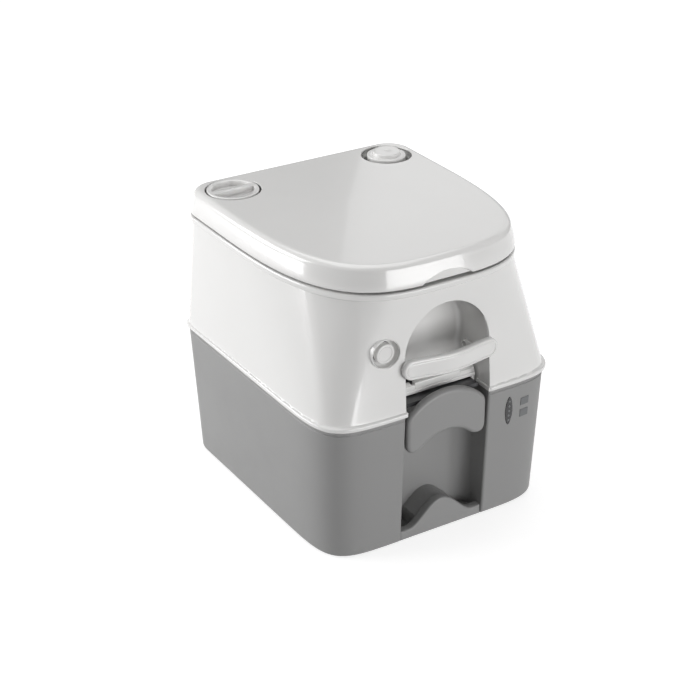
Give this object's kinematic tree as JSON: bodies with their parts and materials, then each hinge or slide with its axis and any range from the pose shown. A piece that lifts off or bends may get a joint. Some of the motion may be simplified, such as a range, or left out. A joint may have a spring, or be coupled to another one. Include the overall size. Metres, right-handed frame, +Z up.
{
  "type": "portable camp toilet",
  "caption": "Boxy portable camp toilet: grey waste tank with slide valve, white flush tank with bowl, hinged seat and lid, hand pump, filler cap and carry handle.",
  "frame": {"origin": "on the floor, under the centre of the overall box", "axes": "+Z up, -Y is the front with the valve handle, -X is the side of the filler cap"},
  "size_m": [0.34, 0.387, 0.376],
  "materials": {
    "tank_grey": "satin moulded",
    "shell_white": "polished moulded",
    "bowl_white": "polished moulded",
    "dark_plastic": "fine satin",
    "blade_dark": "smooth",
    "gauge_dark": "clear coated",
    "pad_light": "printed",
    "steel": "brushed",
    "black_rubber": "moulded",
    "grey_rubber": "moulded"
  },
  "bodies": {
    "waste_tank": {"waste_tank": "tank_grey", "tank_grip": "tank_grey", "valve_housing": "tank_grey", "blade_wiper": "black_rubber", "valve_seal": "black_rubber", "valve_screws": "steel", "gauge_window": "gauge_dark", "gauge_body": "dark_plastic", "gauge_pads": "pad_light", "spout_collar": "tank_grey", "spout_oring": "black_rubber", "vent_body": "tank_grey", "vent_spring": "steel"},
    "slide_valve": {"valve_blade": "blade_dark", "valve_handle": "tank_grey"},
    "pour_spout": {"pour_spout": "tank_grey"},
    "spout_gasket": {"spout_gasket": "black_rubber"},
    "spout_cap": {"spout_cap": "dark_plastic"},
    "vent_button": {"vent_button": "dark_plastic"},
    "flush_tank": {"upper_shell": "shell_white", "tank_floor": "bowl_white", "top_deck": "shell_white", "bowl": "bowl_white", "bowl_outlet": "bowl_white", "flush_bezel": "shell_white", "flush_valve": "dark_plastic", "flush_spring": "steel", "flush_tube": "bowl_white", "rinse_nozzle": "shell_white", "pump_cylinder": "bowl_white", "pump_collar": "shell_white", "filler_neck": "shell_white", "handle_pegs": "shell_white", "latch_pin": "steel", "latch_spring": "steel", "hinge_pins": "steel", "hinge_screws": "steel"},
    "flush_button": {"flush_button": "shell_white"},
    "pump": {"pump_rod": "steel", "pump_piston": "black_rubber", "pump_knob": "shell_white"},
    "filler_gasket": {"filler_gasket": "black_rubber"},
    "filler_cap": {"filler_cap": "shell_white"},
    "carry_handle": {"carry_handle": "shell_white"},
    "latch": {"latch_lever": "shell_white"},
    "seat": {"seat": "shell_white", "seat_bumpers": "grey_rubber"},
    "lid": {"lid": "shell_white", "lid_bumpers": "grey_rubber"}
  },
  "joints": [
    {"name": "flush_tank_lift", "type": "slide", "parent": "waste_tank", "child": "flush_tank", "axis": [0, 0, 1], "range_m": [0, 0.16]},
    {"name": "valve_pull", "type": "slide", "parent": "waste_tank", "child": "slide_valve", "axis": [0, -1, 0], "range_m": [0, 0.1]},
    {"name": "spout_swing", "type": "hinge", "parent": "waste_tank", "child": "pour_spout", "pos_m": [0.085, 0.1615, 0.1515], "axis": [0, 0, -1], "range_deg": [0, 90]},
    {"name": "spout_cap_pull", "type": "slide", "parent": "pour_spout", "child": "spout_gasket", "axis": [-1, 0, 0], "range_m": [0, 0.02]},
    {"name": "spout_cap_turn", "type": "hinge", "parent": "spout_gasket", "child": "spout_cap", "pos_m": [-0.04, 0.1615, 0.1515], "axis": [-1, 0, 0], "range_deg": [0, 90]},
    {"name": "vent_press", "type": "slide", "parent": "waste_tank", "child": "vent_button", "axis": [0, -1, 0], "range_m": [0, 0.004], "stiffness_N_per_m": 500, "springref_m": -0.001, "deforming": ["vent_spring"]},
    {"name": "flush_press", "type": "slide", "parent": "flush_tank", "child": "flush_button", "axis": [0, 1, 0], "range_m": [0, 0.005], "stiffness_N_per_m": 600, "springref_m": -0.001, "deforming": ["flush_spring"]},
    {"name": "pump_stroke", "type": "slide", "parent": "flush_tank", "child": "pump", "axis": [0, 0, 1], "range_m": [0, 0.05]},
    {"name": "filler_cap_lift", "type": "slide", "parent": "flush_tank", "child": "filler_gasket", "axis": [0, 0, 1], "range_m": [0, 0.06]},
    {"name": "filler_cap_turn", "type": "hinge", "parent": "filler_gasket", "child": "filler_cap", "pos_m": [-0.1137, 0.1328, 0.36], "axis": [0, 0, 1], "range_deg": [0, 90]},
    {"name": "handle_pull", "type": "slide", "parent": "flush_tank", "child": "carry_handle", "axis": [0, -1, 0], "range_m": [0, 0.016]},
    {"name": "latch_tilt", "type": "hinge", "parent": "flush_tank", "child": "latch", "pos_m": [0, -0.147, 0.197], "axis": [-1, 0, 0], "range_deg": [0, 20], "stiffness_Nm_per_rad": 0.6, "springref_deg": -8.59},
    {"name": "seat_hinge", "type": "hinge", "parent": "flush_tank", "child": "seat", "pos_m": [0, 0.1885, 0.34], "axis": [-1, 0, 0], "range_deg": [0, 85]},
    {"name": "lid_hinge", "type": "hinge", "parent": "seat", "child": "lid", "pos_m": [0, 0.1885, 0.34], "axis": [-1, 0, 0], "range_deg": [0, 95]}
  ]
}
